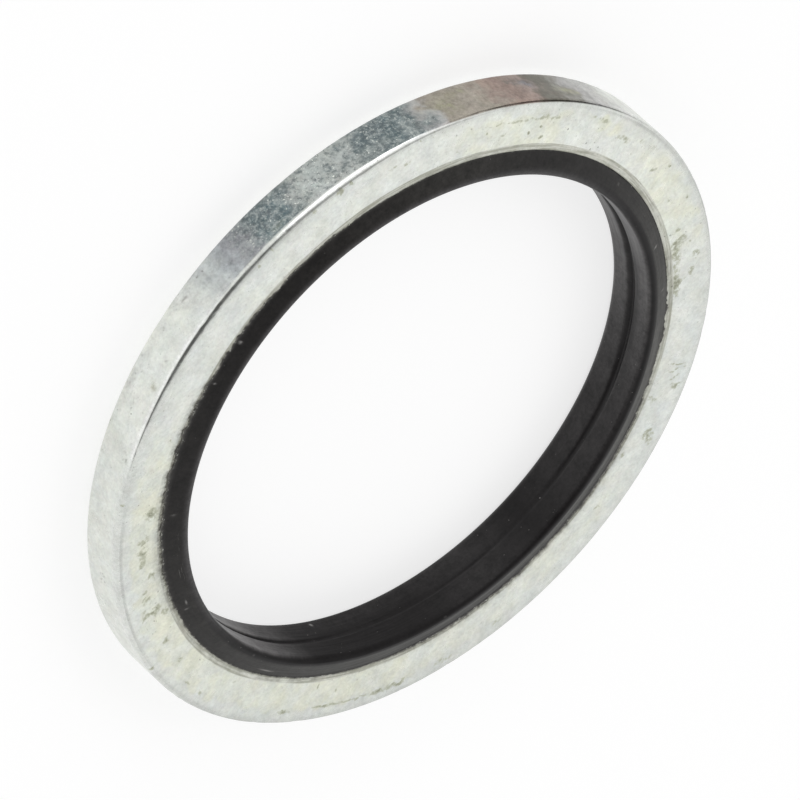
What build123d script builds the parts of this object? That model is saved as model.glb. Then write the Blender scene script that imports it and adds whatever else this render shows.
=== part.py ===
"""Bonded sealing washer for a 3/4 inch parallel pipe thread.

A flat blanked steel ring carries a rubber seal that is moulded into its bore and bonded there.
The washer lies on one rubber lip: the origin is the centre of that lip's circle of contact,
+Z is the washer's axis, and the ring's die-rolled face looks up. Lengths are in millimetres
and angles in degrees.
"""

import os
from math import asin, atan2, cos, hypot, radians, sin

from build123d import *

# Standard sizes of the washer
RING_OUTER_DIAMETER = 34.93
RING_THICKNESS = 2.50
SEAL_INNER_DIAMETER = 27.05

# Steel ring: the bore that the rubber is bonded to, and the two blanked edges
BOND_DIAMETER = 29.53
UPPER_CORNER_RADIUS = 0.25
LOWER_CORNER_RADIUS = 0.20
DIE_ROLL_WIDTH = 0.78
DIE_ROLL_SLOPE = 11.0

# Rubber seal: the crowned lip on each face
LIP_RISE = 0.35
LIP_CREST_DIAMETER = 27.59
LIP_CROWN_RADIUS = 0.66
LIP_EDGE_RADIUS = 0.27

# Rubber seal: the groove round the middle of its bore
GROOVE_WIDTH = 0.56
GROOVE_DEPTH = 0.20

# Heights measured from the ring's mid-plane, which stands at MID_HEIGHT
HALF_THICKNESS = RING_THICKNESS / 2
MID_HEIGHT = HALF_THICKNESS + LIP_RISE


def upper_tangent_point(start, centre, radius):
    """Point where a line from start, outside the circle, touches the circle's upper side."""
    across = centre[0] - start[0]
    along = centre[1] - start[1]
    distance = hypot(across, along)
    heading = atan2(along, across) - asin(radius / distance)
    length = (distance**2 - radius**2) ** 0.5
    return start[0] + length * cos(heading), start[1] + length * sin(heading)


def ring_section():
    """Half section of the steel ring: flat faces, die-rolled upper edge, broken lower edge."""
    outer = RING_OUTER_DIAMETER / 2
    inner = BOND_DIAMETER / 2
    slope = radians(DIE_ROLL_SLOPE)
    corner_run = UPPER_CORNER_RADIUS * (1 - sin(slope))
    roll_radius = (DIE_ROLL_WIDTH - corner_run) / sin(slope)
    roll_start = (outer - DIE_ROLL_WIDTH, HALF_THICKNESS)
    wall_end = (outer, LOWER_CORNER_RADIUS - HALF_THICKNESS)
    with BuildSketch(Plane.XZ) as section:
        with BuildLine():
            roll = JernArc(roll_start, (1, 0), roll_radius, -DIE_ROLL_SLOPE)
            corner = JernArc(roll @ 1, roll % 1, UPPER_CORNER_RADIUS, DIE_ROLL_SLOPE - 90)
            Line(corner @ 1, wall_end)
            edge = JernArc(wall_end, (0, -1), LOWER_CORNER_RADIUS, -90)
            Polyline(edge @ 1, (inner, -HALF_THICKNESS), (inner, HALF_THICKNESS), roll_start)
        make_face()
    return section.sketch


def seal_section():
    """Half section of the seal: a crowned lip on each face, and a bore with a groove round it."""
    bond = BOND_DIAMETER / 2
    throat = SEAL_INNER_DIAMETER / 2
    groove_half = GROOVE_WIDTH / 2
    crown = (LIP_CREST_DIAMETER / 2, HALF_THICKNESS + LIP_RISE - LIP_CROWN_RADIUS)
    crest = (crown[0], crown[1] + LIP_CROWN_RADIUS)
    bond_edge = (bond, HALF_THICKNESS)
    flank_end = upper_tangent_point(bond_edge, crown, LIP_CROWN_RADIUS)
    throat_height = crown[1] + (LIP_CROWN_RADIUS**2 - (crown[0] - throat) ** 2) ** 0.5
    with BuildSketch(Plane.XZ) as section:
        with BuildLine():
            Line(bond_edge, flank_end)
            ThreePointArc(flank_end, crest, (throat, throat_height))
            Line((throat, throat_height), (throat, groove_half))
            mirror(about=Plane.XZ)
            Line(bond_edge, (bond, -HALF_THICKNESS))
            ThreePointArc((throat, groove_half), (throat + GROOVE_DEPTH, 0), (throat, -groove_half))
        make_face()
        bore_corners = section.vertices().group_by(Axis.X)[0].sort_by(Axis.Y)
        fillet([bore_corners[0], bore_corners[-1]], LIP_EDGE_RADIUS)
    return section.sketch


def turned_about_axis(section, name):
    """Solid of the half section turned round the washer's axis, lifted to stand on its lip."""
    body = revolve(section, Axis.Z)
    body = Pos(0, 0, MID_HEIGHT) * body
    body.label = name
    return body


def main():
    """Write one STEP file for each piece."""
    os.makedirs("parts", exist_ok=True)
    sections = {"steel_ring": ring_section(), "rubber_seal": seal_section()}
    for name, section in sections.items():
        export_step(turned_about_axis(section, name), f"parts/{name}.step")


if __name__ == "__main__":
    main()
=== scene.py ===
"""Bonded sealing washer: a plated steel ring and the rubber seal bonded into its bore, dressed and lit."""

import math

import bpy
import numpy as np
from bpy.props import FloatProperty, FloatVectorProperty, PointerProperty
from mathutils import Matrix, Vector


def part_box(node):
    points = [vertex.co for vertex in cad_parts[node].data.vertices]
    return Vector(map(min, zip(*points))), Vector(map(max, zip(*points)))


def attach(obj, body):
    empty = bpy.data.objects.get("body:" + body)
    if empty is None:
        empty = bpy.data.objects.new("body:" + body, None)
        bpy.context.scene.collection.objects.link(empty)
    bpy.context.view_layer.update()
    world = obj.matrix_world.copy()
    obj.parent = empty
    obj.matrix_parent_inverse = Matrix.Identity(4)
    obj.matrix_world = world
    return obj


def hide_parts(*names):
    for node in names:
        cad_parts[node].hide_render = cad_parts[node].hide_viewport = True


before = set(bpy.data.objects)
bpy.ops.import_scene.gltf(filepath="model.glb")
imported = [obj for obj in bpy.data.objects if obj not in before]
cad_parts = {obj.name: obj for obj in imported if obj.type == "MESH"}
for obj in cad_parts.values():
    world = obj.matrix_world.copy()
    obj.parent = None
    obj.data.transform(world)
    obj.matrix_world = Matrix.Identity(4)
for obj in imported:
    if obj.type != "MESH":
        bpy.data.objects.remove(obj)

bl_info = {
    "name": "Sealing Washer",
    "version": (1, 0, 0),
    "blender": (4, 5, 0),
    "location": "3D View > Sidebar > Washer",
    "description": "Builds a bonded sealing washer: a plated steel ring, a rubber seal and a plain studio",
    "category": "Add Mesh",
}

MM = 0.001
RING_LOW, RING_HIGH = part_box("steel_ring")
SEAL_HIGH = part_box("rubber_seal")[1]

# Vertices round the axis
RING_TURNS = 1080
SEAL_TURNS = 1100
# Rows of vertices over each part of the ring's section
RING_ROWS = {"land": 8, "face": 27, "roll": 8, "corner": 10, "wall": 20, "edge": 6, "back": 6}
# Rows over the flank, crown and edge of the upper and the lower lip
UPPER_LIP_ROWS = (10, 9, 12)
LOWER_LIP_ROWS = (5, 6, 10)
# Rows over the bore: above its groove, in it and below it
BORE_ROWS = (5, 15, 8)
# Rows over the film's slope and its top, and at the seal's back over the lower face and up the bond
FILM_ROWS = (2, 3)
BACK_ROWS = (2, 2)
# How strongly each row of the upper corner takes the painted highlight along the edge
HIGHLIGHT_ROWS = (0.0, 0.0, 0.25, 0.7, 1.0, 1.0, 1.0, 0.9, 0.5, 0.1)
# How strongly the last two of them and the wall's first row take a painted glint highlight along another
# stretch
GLINT_ROWS = (0.60, 0.90, 0.35)

# Cosine waves in each row of a ripple, and their least and greatest length as shares of the row's
WAVES = 56
WAVE_LENGTHS = (0.7, 1.7)
# Ripples, each a sum of rows of seed, length in mm and strength. A strength with MM is a distance.
RIPPLES = {
    "slope": ((11, 14.0, 0.10),),
    "width": ((12, 9.0, 0.07),),
    "corner": ((13, 11.0, 0.07),),
    "land": ((14, 5.0, 0.03),),
    "strip": ((22, 2.6, 0.0012 * MM), (23, 0.7, 0.0008 * MM)),
    "sway": ((31, 1.5, 0.75), (32, 0.5, 0.40), (38, 0.2, 0.22)),
    "uneven": ((33, 0.5, 0.26), (34, 0.25, 0.24)),
    "zones out": ((35, 0.9, 0.12 * MM),),
    "zones round": ((36, 1.1, 0.03),),
    "marks out": ((37, 0.6, 0.03 * MM),),
    "marks round": ((39, 0.9, 0.006),),
    "broken": ((50, 0.5, 0.45),),
    "torn": ((42, 0.9, 0.70), (43, 0.38, 0.50), (44, 0.2, 0.36)),
    "film back": ((45, 0.8, 0.4),),
    "thin": ((46, 0.3, 0.25),),
}
# Stretches of the circle, each a sum of rows of from and to azimuth, softness of the start and of the
# end, all in degrees, and strength
STRETCHES = {
    "crisp": ((5, 175, 40, 40, 1),),
    # The wall's painted reflection, and a painted dark reflection line along the rim
    "sheen": ((284, 305, 6, 6, 0.02), (305, 347, 6, 6, -0.034)),
    "painted dark line": ((320, 346, 12, 12, 0.14),),
    # Painted highlights along the upper corner and the top of the wall
    "painted_edge_highlight": ((226, 264, 6, 6, 1),),
    "painted_glint": ((278, 308, 8, 8, 1),),
    "fresh": ((-5, 125, 30, 30, 0.45), (60, 120, 20, 20, 0.25)),
    "dirty land": ((-14, 46, 20, 20, 0.24),),
    "gritty": ((234.5, 269, 4, 6, 0.75), (247, 258, 6, 4, 0.25)),
    # Where the bore's painted sheen gives way to painted shade above the groove, and where a painted
    # highlight lies on the crest
    "black bore": ((128, 180, 20, 20, 1),),
    "crest highlight": ((190, 350, 40, 40, 0.5),),
    "scuffed": ((320, 345, 10, 10, 1),),
}
# Smooth rises across the section: start and length in mm, negative where they rise the other way
RAMPS = {
    "face, outer part": (16.25, 0.6),
    "roll": (17.05, 0.24),
    # The next ramps shape the rubber's painted sheen, the painted shade in its groove and the painted
    # highlight on the crest
    "painted_flank_sheen": (0.08, 0.16),
    "above the groove": (0.38, 0.52),
    "in the groove": (0.01, 0.05),
    "groove, lower half": (0.0, -0.25),
    "bore, lower half": (0.0, -1.2),
    "crown": (1.44, 0.14),
    "crest highlight": (14.08, -0.36),
    "scuffed": (0.34, -0.2),
}


# ---------------------------------------------------------------- sizes and colours

def length(name, description, default):
    """A length property in metres."""
    return FloatProperty(name=name, description=description, default=default, min=0.0,
                         precision=6, unit="LENGTH", subtype="DISTANCE")


def colour(name, description, default):
    """A colour property, linear red, green and blue."""
    return FloatVectorProperty(name=name, description=description, default=default, size=3,
                               min=0.0, max=1.0, subtype="COLOR")


class RingSizes(bpy.types.PropertyGroup):
    """Sizes of the plated steel ring."""

    outer_radius: length("Outer radius", "Axis to the outer wall", RING_HIGH.x)
    bond_radius: length("Bond radius", "Axis to the bore that holds the rubber", SEAL_HIGH.x)
    lower_face: length("Lower face", "Height of the lower face", RING_LOW.z)
    upper_face: length("Upper face", "Height of the upper face", RING_HIGH.z)
    roll_width: length("Die roll width", "Width of the sloping outer edge of the upper face", 0.78 * MM)
    roll_slope: FloatProperty(name="Die roll slope", description="Slope where the die roll meets the corner",
                              default=math.radians(11.0), subtype="ANGLE", unit="ROTATION")
    upper_corner: length("Upper corner", "Radius of the upper outer corner", 0.25 * MM)
    lower_corner: length("Lower corner", "Radius of the lower outer corner", 0.20 * MM)
    land_width: length("Shut-off land", "Width of the strip that the mould closed on", 0.36 * MM)
    land_depth: length("Land depth", "How far the mould pressed the strip in", 0.010 * MM)


class SealSizes(bpy.types.PropertyGroup):
    """Sizes of the moulded rubber seal."""

    throat_radius: length("Throat radius", "Axis to the rubber bore", 13.52 * MM)
    crest_radius: length("Crest radius", "Axis to the top of the lip", 13.79 * MM)
    crown_radius: length("Crown radius", "Radius of the rounded top of the lip", 0.66 * MM)
    edge_radius: length("Edge radius", "Radius where the lip turns into the bore", 0.27 * MM)
    lower_edge_radius: length("Lower edge radius", "The same at the lower lip, softer from wear", 0.48 * MM)
    groove_depth: length("Groove depth", "Depth of the groove round the bore", 0.20 * MM)
    film: length("Flash film", "Thickness of the rubber film that crept onto the metal", 0.012 * MM)


class FinishColours(bpy.types.PropertyGroup):
    """Colours of the plating, its stains, its painted shade and highlight, the rubber, its painted sheen, and
    the floor.
    """

    plating: colour("Plating", "Satin zinc of the flat face", (0.727, 0.748, 0.706))
    # A painted shade: the edge colour darkens the reflection of the rounded edges
    edge: colour("Edge", "Duller zinc of the rounded edges", (0.672, 0.690, 0.655))
    # A painted highlight: the colour of the bright line along one part of the edge
    painted_highlight: colour("Burnish", "Zinc rubbed bright along one part of the edge", (0.950, 0.960, 0.940))
    # The wall's stains also paint in a darker reflection of the wall where they lie
    slate: colour("Slate stain", "Blue-grey stain on the outer wall", (0.158, 0.186, 0.191))
    bare: colour("Bare zinc", "Zinc that shows through the slate stain", (0.560, 0.610, 0.580))
    teal: colour("Teal stain", "Darker blue-green patches in the slate stain", (0.105, 0.155, 0.172))
    mauve: colour("Mauve stain", "Grey-mauve rim of the slate stain", (0.250, 0.240, 0.252))
    tan: colour("Tan stain", "Beige stain on the outer wall", (0.366, 0.335, 0.288))
    rose: colour("Rose stain", "Rose-brown stain on the outer wall", (0.318, 0.236, 0.204))
    olive: colour("Olive stain", "Dark olive stain on the outer wall", (0.172, 0.163, 0.136))
    moss: colour("Moss stain", "Yellow-green tint in the olive stain", (0.340, 0.335, 0.235))
    haze: colour("Haze", "Pale haze on one side of the stains", (0.376, 0.371, 0.361))
    frost: colour("Frost", "Pale blue haze on the other side of the stains", (0.385, 0.410, 0.425))
    grime: colour("Grime", "Dark dirt in pits and along the rubber", (0.110, 0.105, 0.085))
    smear: colour("Smear", "Pale grey-olive marks on the flat face", (0.405, 0.420, 0.310))
    smudge: colour("Smudge", "Darker kernels of the marks", (0.205, 0.208, 0.148))
    rubber: colour("Rubber", "Moulded black rubber", (0.0078, 0.0066, 0.0069))
    # A painted sheen: the grey of the lip's flank where it shows the light
    painted_flank_sheen: colour("Bloom", "Greyer skin of the lip's flank", (0.046, 0.044, 0.040))
    thin: colour("Thin film", "Grey of the rubber where it runs out over the metal", (0.205, 0.200, 0.178))
    # A painted sheen: the grey of the bore where it shows the light
    bore_sheen_grey: colour("Chalk", "Greyed bore of the seal", (0.115, 0.110, 0.110))
    dust: colour("Dust", "Pale specks on the rubber", (0.34, 0.33, 0.32))
    floor: colour("Floor", "Plain pale floor", (0.40, 0.40, 0.40))


# ---------------------------------------------------------------- surface arithmetic

def round_turns(count):
    """Azimuths of the vertices round the axis, as one row."""
    return np.linspace(0.0, 2 * np.pi, count, endpoint=False)[None, :]


def smooth(value):
    """3x^2 - 2x^3 of value held between 0 and 1."""
    x = np.clip(value, 0.0, 1.0)
    return x * x * (3 - 2 * x)


def ramp(name, distance):
    """One of the smooth rises in RAMPS: 0 at its start, 1 at its end."""
    start, run = RAMPS[name]
    return smooth((distance - start * MM) / (run * MM))


def sector(turn, start, end, soft_start, soft_end):
    """1 between two azimuths in degrees and 0 outside, with ends that are soft over some degrees."""
    away = (np.degrees(turn) - (start + end) / 2 + 180) % 360 - 180
    half = (end - start) / 2
    return smooth((away + half) / soft_start + 0.5) * smooth((half - away) / soft_end + 0.5)


def sectors(turn, rows):
    """Sum of sectors, for rows of a sector's values and its strength."""
    return sum(strength * sector(turn, *row) for *row, strength in rows)


def stretch(name, turn):
    """One of the stretches in STRETCHES."""
    return sectors(turn, STRETCHES[name])


def zones(turn, r, rows):
    """The strongest of several zones, for rows of (from azimuth, to azimuth, inside, outside, strength)
    in degrees and mm. Their ends are ZONE_ENDS degrees soft and their sides ZONE_SIDES."""
    total = 0.0
    for start, end, inside, outside, strength in rows:
        middle, half = (inside + outside) / 2 * MM, (outside - inside) / 2 * MM
        band = smooth((half - np.abs(r - middle)) / ZONE_SIDES + 0.5)
        total = np.maximum(total, strength * sector(turn, start, end, ZONE_ENDS, ZONE_ENDS) * band)
    return total


def ripple(name, turn, along, radius):
    """One of the ripples in RIPPLES. Each of its rows is a sum of cosine waves about its length long
    that run over the surface in all directions and close round the circle:
    cos(m * turn + q * along + phase), m a whole number. Its standard deviation is its strength."""
    total = 0.0
    for seed, size, strength in RIPPLES[name]:
        rng = np.random.default_rng(seed)
        heading = rng.uniform(0.0, np.pi, WAVES)
        pitch = 2 * np.pi / (size * MM * rng.uniform(*WAVE_LENGTHS, WAVES))
        rounds = np.rint(pitch * np.cos(heading) * radius)
        rises = pitch * np.sin(heading)
        phases = rng.uniform(0.0, 2 * np.pi, WAVES)
        waves = sum(np.cos(m * turn + q * along + phase) for m, q, phase in zip(rounds, rises, phases))
        total = total + strength * (waves * math.sqrt(2 / WAVES))
    return total


SPOT_END = 40.0


def spots(turn, along, places, radius):
    """Sum of bell-shaped spots, height * exp(-distance^2 / size^2), for rows of
    (azimuth, along, size round, size along, height). The exponent stops where nothing is left."""
    total = np.zeros(np.broadcast(turn, along).shape)
    for azimuth, where, size_round, size_along, height in places:
        across = ((turn - azimuth + np.pi) % (2 * np.pi) - np.pi) * radius / size_round
        up = (along - where) / size_along
        total += height * np.exp(-np.minimum(across**2 + up**2, SPOT_END))
    return total


def dots(turn, along, rows, radius):
    """The same for rows whose azimuth is in degrees and whose lengths are in mm."""
    places = [(math.radians(azimuth), *(length * MM for length in lengths), height)
              for azimuth, *lengths, height in rows]
    return spots(turn, along, places, radius)


def along_turn(turn, rows):
    """Values that change evenly between rows of (azimuth in degrees, value, value ...)."""
    table = np.array(rows, dtype=float)
    degrees = np.degrees(turn) % 360
    return [np.interp(degrees, table[:, 0], column, period=360) for column in table[:, 1:].T]


def arc(centre_r, centre_z, radius, start, end, count, turn, first=True):
    """Rows of a circular arc in the half section, with or without its first point. An angle of 0 is up
    and pi / 2 is outwards."""
    share = np.linspace(0.0, 1.0, count) if first else np.linspace(0.0, 1.0, count + 1)[1:]
    angle = start + (end - start) * share[:, None] + 0 * turn
    return centre_r + radius * np.sin(angle), centre_z + radius * np.cos(angle)


def straight(r0, z0, r1, z1, count, turn, ends=(False, False)):
    """Rows of a straight line in the half section, with or without its two end points."""
    share = np.linspace(0.0, 1.0, count + 2 - ends[0] - ends[1])
    share = share[(0 if ends[0] else 1):(None if ends[1] else -1)][:, None]
    one = 1 + 0 * turn
    return (r0 + (r1 - r0) * share) * one, (z0 + (z1 - z0) * share) * one


def stack(parts):
    """Joins rows of (r, z) into two grids."""
    return [np.concatenate(grids) for grids in zip(*parts)]


def along_section(r, z):
    """Distance run along the section from the first row."""
    step = np.hypot(np.diff(r, axis=0), np.diff(z, axis=0))
    return np.concatenate([np.zeros_like(r[:1]), np.cumsum(step, axis=0)])


def normals_of(r, z):
    """Outward normal in the half section, at right angles to the run of the rows."""
    run_r = np.roll(r, -1, 0) - np.roll(r, 1, 0)
    run_z = np.roll(z, -1, 0) - np.roll(z, 1, 0)
    size = np.hypot(run_r, run_z)
    return -run_z / size, run_r / size


def make_piece(name, r, z, turn, masks, material, replaced):
    """Closed ring mesh from grids of radius and height: x = r cos(turn), y = r sin(turn). Rows run round
    the section, outwards over the top, and close on the first row. Each mask becomes an attribute."""
    rows, turns = r.shape
    points = np.stack([r * np.cos(turn), r * np.sin(turn), z], -1).reshape(-1, 3)
    row, column = np.meshgrid(np.arange(rows), np.arange(turns), indexing="ij")
    next_row, next_column = (row + 1) % rows, (column + 1) % turns
    corners = np.stack([row * turns + column, next_row * turns + column,
                        next_row * turns + next_column, row * turns + next_column], -1).reshape(-1, 4)
    mesh = bpy.data.meshes.new(name)
    mesh.vertices.add(len(points))
    mesh.vertices.foreach_set("co", points.astype(np.float32).ravel())
    mesh.loops.add(corners.size)
    mesh.loops.foreach_set("vertex_index", corners.astype(np.int32).ravel())
    mesh.polygons.add(len(corners))
    mesh.polygons.foreach_set("loop_start", np.arange(0, corners.size, 4, dtype=np.int32))
    mesh.update(calc_edges=True)
    mesh.polygons.foreach_set("use_smooth", np.ones(len(corners), dtype=bool))
    for mask, values in masks.items():
        kind, field, shape = "FLOAT", "value", r.shape
        if values.ndim == 3:
            kind, field, shape = "FLOAT_COLOR", "color", values.shape
        grid = np.broadcast_to(values, shape).astype(np.float32)
        mesh.attributes.new(mask, kind, "POINT").data.foreach_set(field, grid.ravel())
    if mesh.validate():
        raise RuntimeError(f"the mesh of {name} has faulty faces")
    mesh.materials.append(material)
    piece = bpy.data.objects.new(name, mesh)
    bpy.context.scene.collection.objects.link(piece)
    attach(piece, "root")
    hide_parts(replaced)
    return piece


# ---------------------------------------------------------------- steel ring

# Along the crisp half the roll is flatter and the corner sharper by these shares
CRISP_ROLL = 0.85
CRISP_CORNER = 0.62
# Width of the slope from the land up to the face
LAND_STEP = 0.05 * MM


def ring_surface(size):
    """Half section of the ring, carried round the axis: shut-off land, flat face, die-roll arc tangent
    to the face, corner arc tangent to it, wall, lower corner arc, lower face, bond bore. The roll's
    width and slope and the corner's radius change slowly with the azimuth. Along one half the edge is
    crisp: there the roll is almost flat and the corner's radius small."""
    turn = round_turns(RING_TURNS)
    outer, bond, top, bottom = size.outer_radius, size.bond_radius, size.upper_face, size.lower_face
    crisp = stretch("crisp", turn)
    slope = size.roll_slope * (1 + ripple("slope", turn, 0, outer)) * (1 - CRISP_ROLL * crisp)
    width = size.roll_width * (1 + ripple("width", turn, 0, outer))
    corner = size.upper_corner * (1 + ripple("corner", turn, 0, outer)) * (1 - CRISP_CORNER * crisp)
    corner_run = corner * (1 - np.sin(slope))
    roll = (width - corner_run) / np.sin(slope)
    roll_end = top - roll * (1 - np.cos(slope))
    corner_z = roll_end - corner * np.cos(slope)
    land_end = bond + size.land_width * (1 + ripple("land", turn, 0, bond))
    face_start = land_end + LAND_STEP
    land_z = top - size.land_depth
    low = size.lower_corner
    count = RING_ROWS
    parts = {
        "land": straight(bond, land_z, land_end, land_z, count["land"], turn, ends=(True, True)),
        "face": straight(face_start, top, outer - width, top, count["face"], turn, ends=(True, False)),
        "roll": arc(outer - width, top - roll, roll, 0, slope, count["roll"], turn),
        "corner": arc(outer - corner, corner_z, corner, slope, np.pi / 2, count["corner"], turn, first=False),
        "wall": straight(outer, corner_z, outer, bottom + low, count["wall"], turn),
        "edge": arc(outer - low, bottom + low, low, np.pi / 2, np.pi, count["edge"], turn),
        "back": straight(outer - low, bottom, bond, bottom, count["back"], turn, ends=(False, True)),
    }
    r, z = stack(parts.values())
    starts = np.cumsum([0] + [len(part[0]) for part in parts.values()])
    return turn, r, z, {name: slice(*ends) for name, *ends in zip(parts, starts, starts[1:])}


# Nicks along the upper corner and dents over the face and wall: how many, and the least and greatest
# size round, size along the section and depth in mm
PIT_SEED = 21
NICKS = (90, (0.06, 0.20), (0.05, 0.12), (0.004, 0.018))
DENTS = (260, (0.07, 0.20), (0.07, 0.16), (0.003, 0.012))
# The corner's row that the nicks lie along, how far they stray across it in mm, and how far the dents
# reach down the wall
NICK_ROW = 4
NICK_SPREAD = 0.08
DENT_REACH = 2.0 * MM
# The surface is pushed in and out by no more than this, and less on the first rows of the face
PUSH_LIMITS = (-0.06 * MM, 0.004 * MM)
CALM_ROWS, CALM_SHARE = 3, 0.3


def hammered(turn, r, z, part, outer):
    """Pushes the surface in or out along its normal: long low waves of a blanked strip, small nicks
    along the upper corner and shallow dents over the face and wall."""
    run = along_section(r, z)
    normal_r, normal_z = normals_of(r, z)
    rng = np.random.default_rng(PIT_SEED)
    nick_row = part["corner"].start + NICK_ROW
    nick_run, wall_run, face_run = (
        float(run[row].mean()) for row in (nick_row, part["wall"].start, part["face"].start))

    def pressed(kind, place):
        """Random pits of one kind, as rows for spots."""
        count, *ranges = kind
        for _ in range(count):
            azimuth, where = rng.uniform(0, 2 * np.pi), place()
            size_round, size_along, depth = (rng.uniform(*ends) * MM for ends in ranges)
            yield azimuth, where, size_round, size_along, -depth

    pits = [*pressed(NICKS, lambda: nick_run + rng.normal(0, NICK_SPREAD) * MM),
            *pressed(DENTS, lambda: rng.uniform(face_run, wall_run + DENT_REACH))]
    push = ripple("strip", turn, run, outer) + spots(turn, run, pits, outer)
    share = np.ones((r.shape[0], 1))
    share[part["land"]] = 0.0
    share[part["face"].start:part["face"].start + CALM_ROWS] = CALM_SHARE
    share[-1] = 0.0
    push = np.clip(push, *PUSH_LIMITS) * share
    return r + push * normal_r, z + push * normal_z


# Stains of the outer wall, painted in this order: rows as in STRETCHES. Besides their own colour they paint
# in the wall's darker reflection along their stretch.
STAINS = (
    ("haze", ((195.5, 206, 15, 3, 1),)),
    ("frost", ((262, 277, 4, 16, 1),)),
    ("olive", ((203, 213, 3, 4, 0.78), (207.2, 212, 3, 4, 0.45))),
    ("tan", ((216, 232, 6, 3, 1),)),
    ("rose", ((211.4, 220, 5, 7, 0.95),)),
    ("mauve", ((231.2, 236.6, 5, 4.5, 0.6), (266, 270.5, 3, 4, 0.6))),
    ("slate", ((234.4, 246, 4.2, 5, 1), (246, 257.6, 5, 2.4, 0.42), (257.6, 267.3, 2.4, 5, 0.85))),
)
# Blots on the stains of the wall: stain, azimuth, height, size round, size along the height, strength
BLOTS = (
    ("moss", 205.2, 1.85, 0.5, 0.22, 0.9), ("moss", 229, 1.6, 0.7, 0.6, 0.5),
    ("moss", 226.2, 0.95, 0.35, 0.22, 0.6), ("moss", 262.6, 2.2, 0.45, 0.2, 0.6),
    ("mauve", 212.6, 1.25, 0.45, 0.4, 0.8), ("olive", 209.8, 1.95, 0.4, 0.45, 0.4),
    ("grime", 224.8, 0.9, 0.18, 0.16, 0.35), ("haze", 295, 0.7, 2.2, 0.22, 0.3),
    ("teal", 239.8, 1.75, 0.9, 0.85, 0.6), ("teal", 236.6, 0.95, 0.6, 0.55, 0.4),
    ("teal", 244.4, 1.2, 0.35, 0.6, 0.4), ("teal", 248.8, 0.8, 0.6, 0.4, 0.45),
    ("teal", 261.6, 1.6, 0.75, 0.95, 0.88), ("teal", 264.6, 2.1, 0.5, 0.45, 0.5),
    ("haze", 243, 2.1, 0.5, 0.3, 0.25), ("haze", 247.6, 1.5, 0.45, 0.6, 0.35),
    ("haze", 254.8, 1.75, 0.75, 0.8, 0.95), ("haze", 251.4, 2.25, 0.55, 0.25, 0.6),
    ("haze", 256, 0.85, 0.45, 0.3, 0.75), ("bare", 254.7, 1.85, 0.62, 0.48, 0.9),
    ("bare", 252.2, 1.05, 0.26, 0.4, 0.5), ("bare", 256.2, 1.2, 0.3, 0.26, 0.6),
    ("bare", 242.8, 1.95, 0.34, 0.18, 0.45), ("bare", 247.4, 1.2, 0.24, 0.2, 0.4),
    ("slate", 251.6, 1.55, 0.3, 0.3, 0.7), ("slate", 249.2, 2, 0.3, 0.3, 0.5),
    ("slate", 254.2, 0.62, 0.5, 0.14, 0.6), ("grime", 280.2, 0.95, 0.16, 0.1, 0.45),
    ("grime", 283, 0.8, 0.1, 0.1, 0.5), ("grime", 286.4, 0.9, 0.2, 0.07, 0.4),
    ("grime", 289.5, 2.05, 0.08, 0.12, 0.35), ("grime", 299, 1.4, 0.07, 0.12, 0.35),
    ("tan", 224, 2.1, 0.6, 0.3, 0.35), ("rose", 219.5, 0.95, 0.7, 0.35, 0.35),
    ("olive", 214.3, 1, 0.3, 0.5, 0.35), ("grime", 308, 2.15, 0.05, 0.17, 0.55),
    ("grime", 332.2, 1.55, 0.06, 0.2, 0.6), ("moss", 294.6, 2.1, 0.4, 0.3, 0.35),
)
# How high the stains reach above the centre of the corner's arc: azimuth in degrees, height in mm
STAIN_TOP = (
    (180, 0.17), (198, 0.14), (216, 0.14), (228, 0.13), (232, 0.1), (236, 0.05), (240, 0.02), (246, -0.02),
    (252, -0.07), (270, -0.07), (278, -0.02), (292, 0),
)
# Painted reflection level of the plating, how bright it is painted by azimuth: azimuth in degrees, on the
# inner part of the face, on its outer part, on the rim
PAINTED_LEVELS = (
    (186, 1.075, 1, 0.75), (198, 1.08, 1, 0.87), (210, 1.06, 1.03, 1), (222, 1.06, 1.07, 1.05),
    (234, 1.085, 1.05, 1.01), (246, 1.065, 1.06, 0.96), (258, 1.07, 1.02, 0.86), (270, 1.05, 1.01, 0.84),
    (282, 1.03, 1.02, 0.95), (300, 1.025, 1, 0.97), (318, 1.01, 0.99, 0.93), (335, 0.98, 0.985, 0.92),
    (354, 1, 0.97, 0.86), (6, 1, 0.95, 0.84), (18, 0.99, 0.93, 0.86), (30, 0.98, 0.9, 0.86),
    (42, 0.975, 0.9, 0.85), (54, 0.97, 0.89, 0.84), (66, 0.97, 0.89, 0.86), (78, 0.985, 0.92, 0.89),
    (90, 0.99, 0.95, 0.92), (105, 1, 0.97, 0.95), (120, 0.99, 1, 0.95), (138, 1.03, 0.99, 0.95),
    (150, 1.01, 1, 0.96), (165, 1.05, 1.01, 0.92), (176, 1.075, 1.02, 0.84),
)
# Where the face leans to yellow-green, and where to blue: from and to azimuth, inside and outside
# radius in mm, strength
WARM_ZONES = (
    (206, 227, 14.6, 16.8, 0.8), (303, 416, 14.6, 16.75, 0.85), (411, 462, 14.6, 16.6, 0.45),
    (156, 181, 14.6, 16.9, 0.75), (192, 200, 16.2, 16.95, 1),
)
COOL_ZONES = (
    (356, 422, 16.85, 17.6, 0.25), (331, 347, 16.7, 17.5, 0.5), (112, 140, 16.2, 17.6, 0.7),
    (236, 300, 15.9, 17.6, 0.3), (60, 110, 15.2, 17.6, 0.2),
)
# Softness of a zone's ends in degrees, and of its sides
ZONE_ENDS = 9
ZONE_SIDES = 0.3 * MM
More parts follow.
